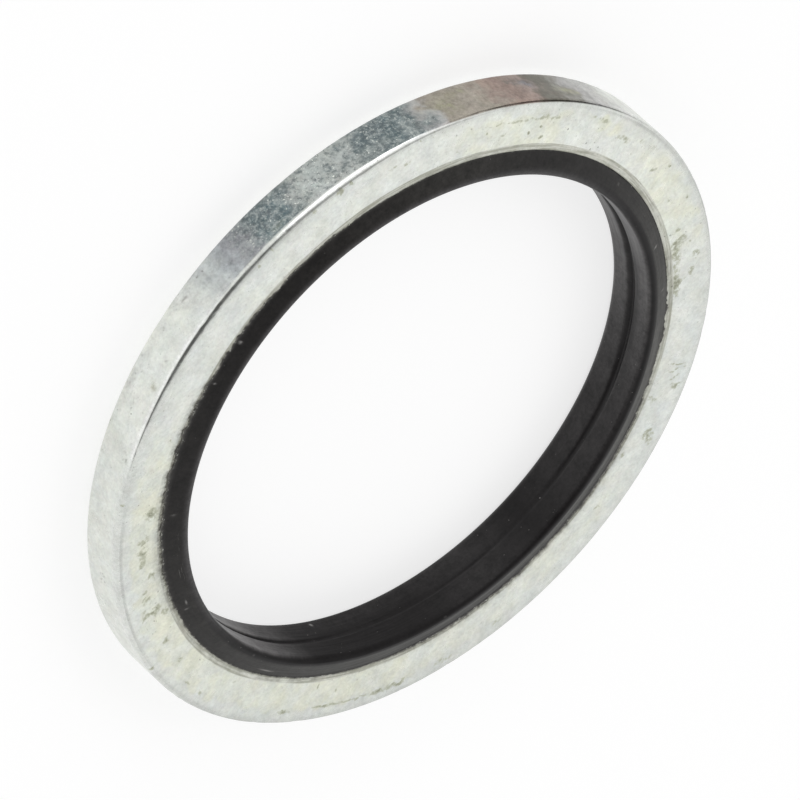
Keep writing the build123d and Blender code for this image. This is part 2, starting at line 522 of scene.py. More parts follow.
# Grey-olive marks on the face: azimuth, radius, size round, size outwards, strength. Sizes in mm.
MARKS = (
    (182, 16.8, 0.5, 0.18, 0.5), (185.5, 16.65, 0.4, 0.25, 0.6), (189.5, 16.32, 0.6, 0.22, 0.8),
    (196.5, 16.76, 0.6, 0.16, 0.7), (199.5, 16.86, 0.35, 0.14, 0.6), (208.5, 16.55, 0.45, 0.16, 0.8),
    (211.5, 16.72, 0.45, 0.28, 0.6), (214.5, 16.5, 1.1, 0.1, 0.6), (221, 16.47, 1.5, 0.1, 0.55),
    (213.7, 15.76, 0.1, 0.11, 1.8), (210, 15.5, 0.09, 0.1, 1.4), (210.3, 16.06, 0.12, 0.1, 1.1),
    (219.3, 15.85, 0.22, 0.22, 0.8), (223, 16.1, 0.1, 0.1, 0.9), (229, 15.5, 0.1, 0.18, 0.8),
    (239.7, 16.25, 0.1, 0.2, 0.8), (242.5, 16.45, 0.1, 0.18, 0.6), (253, 15.45, 0.2, 0.28, 0.7),
    (280.7, 15.6, 0.16, 0.32, 0.6), (283.7, 16.2, 0.28, 0.2, 0.4), (303.5, 15.65, 0.08, 0.14, 1.2),
    (314.8, 17.3, 0.12, 0.14, 1.2), (318.4, 15.65, 0.38, 0.46, 1.15), (323.8, 15.97, 0.44, 0.38, 0.95),
    (326.8, 15.98, 0.34, 0.34, 1.1), (329, 16.02, 0.26, 0.24, 1.2), (333, 15.63, 0.28, 0.26, 1.2),
    (335.7, 16.15, 0.2, 0.22, 1), (338, 16.1, 0.3, 0.3, 1), (341.1, 16, 0.34, 0.52, 1.2),
    (342, 16.5, 0.22, 0.15, 1), (343.5, 15.35, 0.34, 0.22, 0.8), (350, 16, 0.28, 0.18, 1.1),
    (356.4, 16, 0.15, 0.3, 1), (352.6, 17.25, 0.26, 0.16, 1.2), (28.5, 16.78, 0.38, 0.16, 1.3),
    (25, 16.85, 0.3, 0.2, 0.7), (37.8, 16.72, 1.25, 0.1, 1), (44, 16.76, 1.2, 0.09, 0.9),
    (49.5, 16.85, 0.55, 0.18, 1), (53.5, 16.85, 0.7, 0.18, 1.2), (62.5, 16.9, 0.8, 0.28, 0.6),
    (73.5, 16.8, 0.35, 0.18, 0.7), (2.5, 16.62, 0.3, 0.1, 0.9), (7, 16.7, 0.28, 0.18, 0.7),
    (13, 15.5, 0.26, 0.18, 0.6), (39.2, 15.87, 0.12, 0.18, 0.9), (34.8, 15.45, 0.14, 0.26, 0.8),
    (113.5, 16.55, 0.38, 0.42, 0.9), (114.8, 16.2, 0.22, 0.28, 0.8), (98.8, 16.05, 0.14, 0.28, 0.7),
    (102, 16.3, 0.16, 0.24, 0.6), (121.4, 15.52, 0.32, 0.34, 1), (124.3, 16.75, 0.16, 0.5, 1),
    (125.6, 16.4, 0.1, 0.5, 0.8), (127.4, 16.4, 0.08, 0.8, 1), (128.4, 16.45, 0.08, 0.8, 1),
    (109.5, 15.4, 0.26, 0.28, 0.8), (147, 15.3, 1.1, 0.3, 1.25), (148.8, 16.2, 0.36, 0.24, 1),
    (152, 16.55, 0.22, 0.28, 0.9), (157, 15.75, 0.26, 0.5, 0.9), (159.6, 15.85, 0.14, 0.45, 0.8),
    (147.2, 15.75, 0.14, 0.22, 0.8), (155.6, 16.25, 0.14, 0.2, 0.8), (154.8, 15.4, 1, 0.3, 1.05),
    (166, 16.7, 0.12, 0.11, 1.4), (175, 16.7, 0.14, 0.11, 1.6), (177.6, 15.95, 0.22, 0.24, 1),
    (168, 15.85, 0.45, 0.22, 0.6), (234.5, 17.24, 0.09, 0.15, 0.9), (236.8, 17.2, 0.12, 0.18, 0.9),
    (241, 17.22, 0.2, 0.12, 0.6), (249.6, 17.18, 0.22, 0.22, 1.1), (252.6, 17.16, 0.25, 0.24, 1.2),
    (257.6, 17.22, 0.3, 0.16, 0.8), (266, 17.22, 0.12, 0.22, 0.9), (269.4, 17.18, 0.12, 0.24, 0.9),
)
# The rubber film round the edge: azimuth in degrees, how far it crept out over the metal and how
# ragged it is, both in mm
FILM = (
    (2, 0.065, 0.01), (14, 0.055, 0.01), (30, 0.095, 0.012), (42, 0.115, 0.012), (51, 0.105, 0.02),
    (60, 0.165, 0.025), (70, 0.165, 0.03), (80, 0.215, 0.045), (89, 0.165, 0.04), (99, 0.225, 0.025),
    (108, 0.19, 0.03), (117, 0.13, 0.045), (124, 0.05, 0.07), (130, 0.02, 0.06), (137, 0.08, 0.07),
    (142, 0.05, 0.06), (147, 0, 0.03), (158, 0.004, 0.008), (180, 0.01, 0.006), (215, 0.03, 0.008),
    (238, 0.05, 0.012), (247, 0.075, 0.025), (258, 0.13, 0.025), (269, 0.135, 0.04), (278, 0.23, 0.035),
    (285, 0.15, 0.08), (292, 0.25, 0.04), (305, 0.28, 0.055), (311, 0.32, 0.045), (318, 0.19, 0.06),
    (326, 0.21, 0.045), (334, 0.165, 0.025), (344, 0.09, 0.03), (353, 0.07, 0.02),
)
# Dirt outside the film: azimuth in degrees, strength and reach in mm
DIRT = (
    (0, 0.5, 0.06), (20, 0.6, 0.06), (45, 0.6, 0.07), (60, 0.85, 0.16), (75, 0.9, 0.17), (90, 0.75, 0.14),
    (105, 0.95, 0.17), (120, 0.8, 0.15), (135, 0.35, 0.16), (150, 0.4, 0.2), (162, 0.2, 0.1),
    (240, 0.2, 0.08), (262, 0.35, 0.08), (285, 0.55, 0.1), (297, 0.95, 0.2), (312, 0.95, 0.18),
    (322, 0.9, 0.2), (332, 0.9, 0.24), (342, 0.75, 0.22), (348, 0.4, 0.14),
)
# The film's least and greatest reach in mm, and the width of its sloping edge
FILM_LIMITS = (0.003, 0.46)
FILM_SLOPE = 0.01 * MM
# Width of the strip beside the bond that can be dirty
DIRT_WIDTH = 0.7 * MM
# What lies within this of the upper face's height counts as face
FACE_DEPTH = 0.3 * MM
# Rows of the lower corner that the stains of the wall run on over, the softness of their upper border
# and how far they lean round the wall, in degrees for each mm of height
STAINED_EDGE_ROWS = 4
STAIN_BORDER = 0.05 * MM
STAIN_LEAN = 0.5
# Softness of the land's outer border, and how much of the dirty land is dirty in the mean
LAND_BORDER = 0.08 * MM
DIRTY_SHARE = 0.55
# How far the last rows of the roll and the first of the wall count as edge
ROLL_END_ROWS = 2
HALF_EDGE = 0.5
# Painted reflection level of the wall, how much painted shade darkens the upper corner along the half that is
# turned away, and the sine of the azimuth where that begins and by which it rises
WALL_REFLECTION_LEVEL = 1.03
CORNER_SHADE = 0.25
SHADE_START, SHADE_RISE = -0.2, 0.6
# The marks lie over each other up to this strength
MARKS_LIMIT = 2


def creep(turn, bond):
    """How far the rubber film crept out over the metal, by azimuth, with its ragged edge."""
    reach, ragged = along_turn(turn, FILM)
    return np.clip(reach + ragged * ripple("torn", turn, 0, bond), *FILM_LIMITS) * MM


def painted(colours, turn, z, band, size):
    """Colour and cover of the wall's stains: each stain is laid over the ones before it. The stains also
    paint in the wall's darker reflection.
    """
    outer, middle = size.outer_radius, (size.lower_face + size.upper_face) / 2
    skew = turn + np.radians(ripple("sway", turn, z, outer) + STAIN_LEAN * (z - middle) / MM)
    uneven = 1 + ripple("uneven", turn, z, outer)
    layers = [(name, sectors(skew, patches)) for name, patches in STAINS]
    layers += [(name, dots(skew, z, [row], outer) * uneven) for name, *row in BLOTS]
    colour = np.zeros((*z.shape, 3))
    cover = np.zeros((*z.shape, 1))
    for name, strength in layers:
        amount = np.clip(strength * band, 0, 1)[..., None]
        colour = colour * (1 - amount) + np.array(getattr(colours, name)) * amount
        cover = cover * (1 - amount) + amount
    gritty = stretch("gritty", skew) * band
    return np.concatenate([colour / np.maximum(cover, 1e-6), cover], -1), gritty


def ring_masks(turn, r, z, part, size, colours):
    """Where the ring is stained, rolled, pressed by the mould, marked or dirty, where it takes painted
    highlights and how bright its painted reflection level is, each from 0 to 1, and the colour of the stains,
    which also paint in a darker reflection on the wall."""
    outer, bond = size.outer_radius, size.bond_radius
    corner, wall = part["corner"], part["wall"].start
    roll_end = slice(part["roll"].stop - ROLL_END_ROWS, part["roll"].stop)

    def by_rows(*pairs):
        """A mask that is the same all the way round, from pairs of rows and values."""
        values = np.zeros((r.shape[0], 1))
        for rows, value in pairs:
            values[rows, 0] = value
        return values

    edge = by_rows((roll_end, HALF_EDGE), (corner, 1.0), (wall, HALF_EDGE))
    land = by_rows((part["land"], 1.0))
    # Painted highlights along the upper corner and the wall's first row
    painted_highlight = by_rows((corner, HIGHLIGHT_ROWS)) * stretch("painted_edge_highlight", turn)
    glint_end = wall + 1
    glint = by_rows((slice(glint_end - len(GLINT_ROWS), glint_end), GLINT_ROWS)) * stretch("painted_glint", turn)

    over = by_rows((slice(corner.start, part["edge"].start + STAINED_EDGE_ROWS), 1.0))
    top_edge = z[corner.stop - 1, 0] + along_turn(turn, STAIN_TOP)[0] * MM
    over = over * smooth((top_edge - z) / STAIN_BORDER + 0.5)
    stain, gritty = painted(colours, turn, z, over, size)

    high = z > size.upper_face - FACE_DEPTH
    top = high * (1 - land)
    # How bright the plating is painted: a painted reflection level by azimuth over the face, rim and wall, a
    # painted dark line at the roll's end, and painted shade on the far half of the upper corner
    inner, outward, rim = along_turn(turn, PAINTED_LEVELS)
    roll = ramp("roll", r) * top
    level = inner + (outward - inner) * ramp("face, outer part", r) + (rim - outward) * roll
    level = np.where(top > 0, level, WALL_REFLECTION_LEVEL + stretch("sheen", turn))
    level[roll_end] *= 1 - stretch("painted dark line", turn)
    level[corner] = 1 - CORNER_SHADE * smooth((np.sin(turn) - SHADE_START) / SHADE_RISE)

    wavy = r + ripple("zones out", turn, r, outer)
    drift = turn + ripple("zones round", turn, r, outer)
    shifted = turn + ripple("marks round", turn, r, outer), r + ripple("marks out", turn, r, outer)
    marks = dots(*shifted, MARKS, outer)

    amount, reach = along_turn(turn, DIRT)
    away = np.maximum(r - bond - creep(turn, bond), 0)
    dirt = amount * np.exp(-away / (reach * MM)) * (r < bond + DIRT_WIDTH)
    strip = stretch("dirty land", turn) * smooth((bond + size.land_width - r) / LAND_BORDER)
    dirt = np.maximum(dirt, strip * smooth(DIRTY_SHARE + ripple("broken", turn, r, bond))) * high
    return {"stain": stain, "gritty": gritty, "land": land, "roll": roll, "edge": edge, "level": level,
            "painted_edge_highlight": painted_highlight + glint, "tired": 1 - stretch("fresh", turn),
            "warm": zones(drift, wavy, WARM_ZONES) * top, "cool": zones(drift, wavy, COOL_ZONES) * top,
            "marks": np.clip(marks, 0, MARKS_LIMIT) * top, "dirt": dirt}


# ---------------------------------------------------------------- rubber seal

def lip_section(size, crest, edge, bond, face, peak, turn, counts):
    """Upper lip from the edge of the metal into the bore: the flank is the tangent from the metal to
    the crown circle, and the edge arc touches the crown from inside and the bore wall. The counts are
    the rows of the three."""
    crown = size.crown_radius
    crown_z = peak - crown
    away_r, away_z = crest - bond, crown_z - face
    flank = math.atan2(away_r, away_z) + math.acos(-crown / math.hypot(away_r, away_z))
    edge_r = size.throat_radius + edge
    edge_z = crown_z + math.sqrt((crown - edge) ** 2 - (edge_r - crest) ** 2)
    meet = -math.asin((crest - edge_r) / (crown - edge))
    flank_end = (crest + crown * math.sin(flank), crown_z + crown * math.cos(flank))
    return [
        straight(bond, face, *flank_end, counts[0], turn),
        arc(crest, crown_z, crown, flank, meet, counts[1], turn),
        arc(edge_r, edge_z, edge, meet, -math.pi / 2, counts[2], turn, first=False),
    ]


# The groove round the bore: azimuth in degrees, half its width in mm, share of its full depth, rise in mm
GROOVE = (
    (0, 0.25, 1, 0.05), (12, 0.24, 0.9, 0.05), (20, 0.24, 0.6, 0.13), (30, 0.23, 0.4, 0.18),
    (45, 0.23, 0.13, 0.1), (60, 0.23, 0.22, 0.05), (75, 0.23, 0.28, 0.05), (90, 0.23, 0.12, 0.06),
    (105, 0.27, 0.36, 0.09), (120, 0.32, 0.46, 0.17), (132, 0.35, 0.85, 0.1), (150, 0.38, 1, 0.05),
    (168, 0.38, 1, 0.05), (185, 0.32, 1, 0.05), (210, 0.25, 1, 0.05),
)


def bore_section(size, top, middle, bottom, turn):
    """Bore from its upper to its lower end: wall, groove, wall. The groove's depth falls off from its
    middle as the square of a cosine. Its width, depth and height change with the azimuth."""
    above, inside, below = BORE_ROWS
    throat = size.throat_radius
    half, depth, rise = along_turn(turn, GROOVE)
    half, depth = half * MM, depth * size.groove_depth
    middle = middle + rise * MM
    share = np.linspace(1.0, -1.0, inside)[:, None]
    return [
        straight(throat, top, throat, middle + half, above, turn),
        (throat + depth * np.cos(share * np.pi / 2) ** 2, middle + half * share),
        straight(throat, middle - half, throat, bottom, below, turn),
    ]


def turned_over(parts, middle):
    """The same rows upside down, in the opposite order."""
    return [(r[::-1], 2 * middle - z[::-1]) for r, z in reversed(parts)]


# How far the film crept out over the lower face in the mean
FILM_BACK = 0.02 * MM


def seal_surface(size, ring):
    """Half section of the seal, carried round the axis: film over the land, lip, bore with its groove
    and lower lip, closed along the bond."""
    turn = round_turns(SEAL_TURNS)
    bond, top, bottom = ring.bond_radius, ring.upper_face, ring.lower_face
    middle = (top + bottom) / 2
    land = top - ring.land_depth
    film_edge = bond + creep(turn, bond)
    film_top = (film_edge - FILM_SLOPE, land + size.film)
    film_back = bond + FILM_BACK * (1 + ripple("film back", turn, 0, bond))
    film = [
        straight(film_edge, land, *film_top, FILM_ROWS[0], turn, ends=(True, True)),
        straight(*film_top, bond, top, FILM_ROWS[1], turn),
    ]
    peak = SEAL_HIGH.z
    lip = lip_section(size, size.crest_radius, size.edge_radius, bond, top, peak, turn, UPPER_LIP_ROWS)
    lower_crest = size.throat_radius + size.lower_edge_radius
    lower = lip_section(size, lower_crest, size.lower_edge_radius, bond, top, peak, turn, LOWER_LIP_ROWS)
    lower = turned_over(lower, middle)
    bore = bore_section(size, float(lip[-1][1][-1, 0]), middle, float(lower[0][1][0, 0]), turn)
    back = [
        straight(bond, bottom, film_back, bottom, BACK_ROWS[0], turn, ends=(False, True)),
        straight(bond, bottom, bond, land, BACK_ROWS[1], turn, ends=(True, True)),
    ]
    r, z = stack(film + lip + bore + lower + back)
    return turn, r[::-1], z[::-1]


# Dust on the lip: azimuth, radius, size round, size outwards, strength. Sizes in mm.
LIP_DUST = (
    (281.9, 14.65, 0.05, 0.06, 1.3), (291, 14.63, 0.03, 0.05, 0.8), (320.2, 14.42, 0.03, 0.1, 0.8),
    (344, 14.3, 0.12, 0.03, 0.8), (346, 14.42, 0.03, 0.08, 0.6), (18.6, 14.5, 0.4, 0.03, 0.9),
    (11.3, 13.84, 0.03, 0.06, 0.7), (63, 13.72, 0.03, 0.05, 0.6), (148.2, 14.37, 0.03, 0.1, 0.7),
    (160.7, 14.26, 0.03, 0.09, 1.2), (183.4, 14.4, 0.05, 0.05, 0.4),
)
# The same in the bore: azimuth, height, size round, size along the height, strength
BORE_DUST = ((37, 0.6, 0.06, 0.07, 1.2),)
# Painted grey sheen of the rubber, which stands in for its reflection: azimuth in degrees, on the flank of
# the lip, in the bore, dullness of the bore
PAINTED_SHEEN = (
    (0, 0.35, 0.4, 0), (10, 0.45, 0.95, 0.3), (17, 0.5, 0.68, 0.6), (30, 0.46, 0, 1), (45, 0.35, 0, 1),
    (60, 0.04, 0, 0.7), (75, 0.18, 0.14, 0.4), (90, 0.49, 0, 0), (105, 0.59, 0.15, 0), (120, 0.85, 0.22, 0),
    (135, 0.95, 0.47, 0), (150, 0.82, 0.74, 0), (165, 0.62, 0.65, 0), (180, 0.38, 0.35, 0),
    (195, 0.26, 0.15, 0), (210, 0.31, 0.1, 0), (225, 0.59, 0.1, 0), (240, 0.5, 0.1, 0), (255, 0.29, 0.1, 0),
    (270, 0.175, 0.1, 0), (285, 0.15, 0.1, 0), (300, 0.23, 0.1, 0), (315, 0.225, 0.1, 0),
    (330, 0.35, 0.2, 0), (345, 0.4, 0.3, 0),
)
# Distance from the middle height to the flanks' feet, the groove's ends, the bore's ends and the
# crown's foot
FLANK_FOOT, GROOVE_END, BORE_END, CROWN_FOOT = 1.15 * MM, 0.4 * MM, 1.3 * MM, 0.9 * MM
# What lies above this depth below the upper face is film or upper lip, and what lies within this
# distance of the throat is bore
UPPER_DEPTH = 0.05 * MM
BORE_DEPTH = 0.02 * MM
# The thin rim of the film starts this far inside the bond and is at least this wide. It thins out by a
# power, and shows by this share in the mean.
THIN_START = -0.01 * MM
THIN_WIDTH = 0.06 * MM
THIN_POWER = 2.2
THIN_SHARE = 0.75
# Middle of the scuffed strip of the lip
SCUFF_RADIUS = 14.15 * MM
# Where the bore is black on one side, its lower half loses this share of the painted sheen, and the groove's
# lower half keeps this share of it everywhere. Where the sheen is taken away in and above the groove, it
# leaves painted shade.
BLACK_BELOW = 0.18
GROOVE_KEEPS = 0.4
# How much painted grey sheen the dull stretch of the bore has low down
DULL_GREY = 0.12


def seal_masks(turn, r, z, size, ring):
    """Where the rubber has the painted grey sheen of its flanks, runs out in a thin film, has painted grey
    sheen in the bore with painted shade in and above its groove and a painted highlight on the crest, is
    dull, scuffed or dusty, each from 0 to 1."""
    bond, throat, crest = ring.bond_radius, size.throat_radius, size.crest_radius
    up = z - (ring.upper_face + ring.lower_face) / 2
    upper = z > ring.upper_face - UPPER_DEPTH
    flank, inside, dull = along_turn(turn, PAINTED_SHEEN)
    painted_flank_sheen = flank * ramp("painted_flank_sheen", r - crest) * (np.abs(up) > FLANK_FOOT)
    reach = np.maximum(creep(turn, bond), THIN_WIDTH)
    thin = np.clip((r - bond - THIN_START) / reach, 0, 1) ** THIN_POWER * upper * (r > bond)
    thin = thin * (THIN_SHARE + ripple("thin", turn, r, bond))
    # The painted sheen fades out over the lip, and above the groove on one side and in the groove's upper
    # half it gives way to painted shade
    black = stretch("black bore", turn)
    fades = 1 - black * np.where(up > 0, 1 - ramp("above the groove", up), BLACK_BELOW)
    groove_shade = ramp("in the groove", r - throat) * (np.abs(up) < GROOVE_END)
    groove_shade = groove_shade * (1 - GROOVE_KEEPS * ramp("groove, lower half", up))
    painted_bore_sheen = inside * fades * (1 - groove_shade) + DULL_GREY * dull * ramp("bore, lower half", up)
    painted_bore_sheen = painted_bore_sheen * (r < crest) * (1 - ramp("crown", up))
    # A painted highlight greys the crest along the half that is turned away from the groove's shallow part
    crest_highlight = stretch("crest highlight", turn) * ramp("crest highlight", r)
    painted_bore_sheen = np.maximum(painted_bore_sheen, crest_highlight * (up > CROWN_FOOT))
    scuffed = stretch("scuffed", turn) * ramp("scuffed", np.abs(r - SCUFF_RADIUS)) * upper
    bore = (r < throat + BORE_DEPTH) & (np.abs(up) < BORE_END)
    dust = dots(turn, r, LIP_DUST, crest) * upper + dots(turn, z, BORE_DUST, crest) * bore
    return {"painted_flank_sheen": painted_flank_sheen, "scuffed": scuffed, "thin": thin, "painted_bore_sheen": painted_bore_sheen, "dull": dull * (r < crest),
            "dust": np.clip(dust, 0, 1)}


# ---------------------------------------------------------------- shader nodes and groups

class Nodes:
    """Adds nodes to one tree, and is called n below. An input is linked to a socket or set to a value.
    Colours are given as red, green and blue."""

    def __init__(self, tree):
        self.tree = tree

    def fill(self, node, inputs):
        """Links or sets the inputs of a node."""
        for name, value in inputs.items():
            socket = node.inputs[name]
            if isinstance(value, bpy.types.NodeSocket):
                self.tree.links.new(value, socket)
            elif socket.type == "RGBA":
                socket.default_value = (*value, 1.0)
            else:
                socket.default_value = value

    def add(self, kind, inputs, **settings):
        """Outputs of a new node."""
        node = self.tree.nodes.new("ShaderNode" + kind)
        for name, value in settings.items():
            setattr(node, name, value)
        self.fill(node, inputs)
        return node.outputs

    def calc(self, operation, a, b=0.0, c=0.0, clamp=False):
        """Output of a Math node."""
        return self.add("Math", {0: a, 1: b, 2: c}, operation=operation, use_clamp=clamp)[0]

    def times(self, *factors):
        """Product of numbers and sockets."""
        product = factors[0]
        for factor in factors[1:]:
            product = self.calc("MULTIPLY", product, factor)
        return product

    def share(self, value, gain, base):
        """value * gain + base."""
        return self.calc("MULTIPLY_ADD", value, gain, base)

    def vector(self, operation, a, b=(0.0, 0.0, 0.0), scale=1.0):
        """Output of a Vector Math node: a vector, or a number for a length or a dot product."""
        made = self.add("VectorMath", {0: a, 1: b, 3: scale}, operation=operation)
        return made["Value" if operation in ("LENGTH", "DOT_PRODUCT") else "Vector"]

    def noise(self, where, scale, detail, roughness=0.5, output="Fac"):
        """Fractal noise."""
        inputs = {"Vector": where, "Scale": scale, "Detail": detail, "Roughness": roughness}
        return self.add("TexNoise", inputs)[output]

    def fade(self, value, low, high, to_low=0.0, to_high=1.0):
        """Smooth step of value from low to high."""
        inputs = {"Value": value, "From Min": low, "From Max": high, "To Min": to_low, "To Max": to_high}
        return self.add("MapRange", inputs, interpolation_type="SMOOTHSTEP")["Result"]

    def tint(self, factor, a, b, mode="MIX"):
        """Colour a mixed with colour b by factor."""
        return self.add("Mix", {0: factor, 6: a, 7: b}, data_type="RGBA", blend_type=mode)[2]

    def mask(self, name):
        """A mask stored on the mesh."""
        return self.add("Attribute", {}, attribute_name=name)["Fac"]

    def group(self, name, output, **inputs):
        """Output of one of the washer's shader groups, which is made where it is first used."""
        tree = bpy.data.node_groups.get(name) or GROUPS[name]()
        return self.add("Group", inputs, node_tree=tree)[output]

    def clouds(self, where, scale, detail, low, high):
        """Mask of soft patches."""
        return self.group("washer_clouds", "Mask", Vector=where, Scale=scale, Detail=detail,
                          Low=low, High=high)

    def flecks(self, where, scale, share, size, ragged):
        """Mask of small ragged flecks."""
        return self.group("washer_flecks", "Mask", Vector=where, Scale=scale, Share=share,
                          Size=size, Ragged=ragged)


def new_group(name, inputs, outputs):
    """An empty shader group: its nodes, the sockets it is given and its output node. Inputs are names
    with a default, or None for a vector. Outputs are names with a kind of socket."""
    tree = bpy.data.node_groups.new(name, "ShaderNodeTree")
    for socket_name, default in inputs.items():
        kind = "NodeSocketVector" if default is None else "NodeSocketFloat"
        socket = tree.interface.new_socket(socket_name, in_out="INPUT", socket_type=kind)
        if default is not None:
            socket.default_value = default
    for socket_name, kind in outputs.items():
        tree.interface.new_socket(socket_name, in_out="OUTPUT", socket_type="NodeSocket" + kind)
    return Nodes(tree), tree.nodes.new("NodeGroupInput").outputs, tree.nodes.new("NodeGroupOutput")


def place_group():
    """Millimetre coordinates, and coordinates that draw a pattern out round the ring without a seam:
    (x / r * Stretch, y / r * Stretch, (r - z) * Pitch)."""
    n, given, made = new_group("washer_place", {"Stretch": 8.0, "Pitch": 20.0},
                               {"Millimetres": "Vector", "Round": "Vector"})
    spot = n.vector("SCALE", n.add("TexCoord", {})["Object"], scale=1 / MM)
    x, y, z = n.add("SeparateXYZ", {0: spot})
    level = n.add("CombineXYZ", {0: x, 1: y})[0]
    wide = n.vector("SCALE", n.vector("NORMALIZE", level), scale=given["Stretch"])
    run = n.times(n.calc("SUBTRACT", n.vector("LENGTH", level), z), given["Pitch"])
    n.fill(made, {"Millimetres": spot, "Round": n.vector("ADD", wide, n.add("CombineXYZ", {2: run})[0])})
    return n.tree


def cloud_group():
    """Soft patches: fractal noise, stepped smoothly from Low to High."""
    n, given, made = new_group("washer_clouds", {"Vector": None, "Scale": 1.0, "Detail": 3.0, "Low": 0.4,
                                                 "High": 0.6}, {"Mask": "Float"})
    noise = n.noise(given["Vector"], given["Scale"], given["Detail"], roughness=0.6)
    n.fill(made, {"Mask": n.fade(noise, given["Low"], given["High"])})
    return n.tree


# A fleck's size is at least this share of the greatest size, and its middle is full out to this share
FLECK_LEAST = 0.25
FLECK_CORE = 0.45
# Scale and detail of the noise that shakes the flecks' outlines
FLECK_SHAKE = (9.0, 2.0)


def fleck_group():
    """Small ragged flecks: a share of the cells holds a fleck, whose size is random up to Size."""
    n, given, made = new_group("washer_flecks", {"Vector": None, "Scale": 4.0, "Share": 0.2, "Size": 0.3,
                                                 "Ragged": 0.1}, {"Mask": "Float"})
    jitter = n.vector("SUBTRACT", n.noise(given["Vector"], *FLECK_SHAKE, output="Color"), (0.5, 0.5, 0.5))
    shaken = n.vector("ADD", given["Vector"], n.vector("SCALE", jitter, scale=given["Ragged"]))
    cells = n.add("TexVoronoi", {"Vector": shaken, "Scale": given["Scale"]})
    chance, bigness = n.add("SeparateColor", {0: cells["Color"]})[:2]
    reach = n.times(given["Size"], n.share(bigness, 1 - FLECK_LEAST, FLECK_LEAST))
    inside = n.fade(cells["Distance"], reach, n.times(reach, FLECK_CORE))
    n.fill(made, {"Mask": n.times(inside, n.calc("LESS_THAN", chance, given["Share"]))})
    return n.tree


# Noises of the mottle: scale, detail, roughness and weight
MOTTLE_NOISES = ((5.5, 4.0, 0.7, 0.39), (1.3, 4.0, 0.6, 0.34))
# Its flat cells, whose outlines a noise of this scale and detail bends: their scale and weight
MOTTLE_BEND = (2.0, 2.0)
MOTTLE_CELLS = (1.8, 0.045)
# Its two noises of hue: scale and detail, and the weight of both
HUE_NOISES = ((0.9, 3.0), (4.5, 3.0))
HUE_WEIGHT = 0.045


def mottle_group():
    """Light and dark in three sizes: 1 plus Amount times the sum of two noises and of flat cells whose
    level is random, each taken about its mean. Hue does the same to each colour channel by itself."""
    n, given, made = new_group("washer_mottle", {"Vector": None, "Amount": 1.0},
                               {"Value": "Float", "Hue": "Color"})
    where, amount = given["Vector"], given["Amount"]
    bent = n.vector("ADD", n.noise(where, *MOTTLE_BEND, output="Color"), where)
    scale, cells_weight = MOTTLE_CELLS
    cells = n.add("TexVoronoi", {"Vector": bent, "Scale": scale})["Color"]
    total = 0.0
    for *kind, weight in MOTTLE_NOISES:
        total = n.calc("MULTIPLY_ADD", n.calc("SUBTRACT", n.noise(where, *kind), 0.5), weight, total)
    level = n.calc("SUBTRACT", n.add("SeparateColor", {0: cells})[0], 0.5)
    total = n.calc("MULTIPLY_ADD", level, cells_weight, total)
    dyes = n.vector("ADD", *(n.noise(where, *kind, output="Color") for kind in HUE_NOISES))
    dyes = n.vector("SCALE", n.vector("SUBTRACT", dyes, (1.0, 1.0, 1.0)), scale=n.times(amount, HUE_WEIGHT))
    n.fill(made, {"Value": n.share(total, amount, 1.0), "Hue": n.vector("ADD", dyes, (1.0, 1.0, 1.0))})
    return n.tree


GROUPS = {"washer_place": place_group, "washer_clouds": cloud_group, "washer_flecks": fleck_group,
          "washer_mottle": mottle_group}


def new_material(name):
    """A material with a Principled shader: the material, its nodes and the shader."""
    material = bpy.data.materials.new(name)
    material.use_nodes = True
    tree = material.node_tree
    tree.nodes.clear()
    shader = tree.nodes.new("ShaderNodeBsdfPrincipled")
    output = tree.nodes.new("ShaderNodeOutputMaterial")
    tree.links.new(shader.outputs["BSDF"], output.inputs["Surface"])
    return material, Nodes(tree), shader


# ---------------------------------------------------------------- materials

# Soft patches: scale, detail and the two levels of noise that they fade between
CLOUDS = {
    "warm": (0.9, 2.0, 0.36, 0.62),
    "cool": (0.7, 2.0, 0.40, 0.62),
    "chipped": (3.2, 4.0, 0.36, 0.50),
    "lines": (1.0, 3.0, 0.38, 0.62),
    "worn": (0.42, 2.0, 0.46, 0.66),
}
# Flecks: scale, share of the cells that hold one, greatest size in cells, raggedness
FLECKS = {
    "painted_sparkle": (9.0, 0.48, 0.46, 0.22),
    "pits": (3.4, 0.40, 0.26, 0.22),
    "pinholes": (7.0, 0.24, 0.30, 0.08),
    "scars": (2.2, 0.30, 0.22, 0.20),
    "grit": (8.5, 0.55, 0.45, 0.30),
    "holes": (6.0, 0.70, 0.42, 0.40),
    "motes": (1.9, 0.08, 0.13, 0.12),
    "lint": (6.5, 0.05, 0.22, 0.10),
    "scratches": (1.6, 0.70, 0.26, 0.35),
}
# Noises: scale, detail, roughness
NOISES = {
    "sand": (4.2, 5.0, 0.75),
    "drift": (1.4, 4.0, 0.6),
    "ragged": (4.5, 5.0, 0.65),
    "crumbs": (5.0, 4.0, 0.7),
    "grain": (12.0, 3.0, 0.6),
    "swell": (1.6, 3.0),
    "rubber lines": (1.0, 4.0),
    "rubber grain": (9.0, 4.0),
}
# Levels that a noise or a mask fades between, and the two values that it fades to
FADES = {
    "painted_sparkle": (0.38, 0.58, 0.25, 1.0),
    "smear": (0.30, 0.90),
    "smudge": (0.85, 1.50),
    "crumbs": (0.30, 0.62, 0.45, 1.25),
    "grit": (0.15, 0.60),
    "zinc gloss": (0.3, 0.7, 0.27, 0.40),
    "holes": (0.02, 0.25),
    "rubber gloss": (0.3, 0.7, 0.30, 0.44),
}
# Gain and base of a mask or a noise: mask * gain + base
GAINS = {
    "chipped": (0.60, 0.35),
    "mottle on stains": (1.4, 1.2),
    "worn": (0.85, 0.15),
    "ragged": (4.5, -1.25),
}
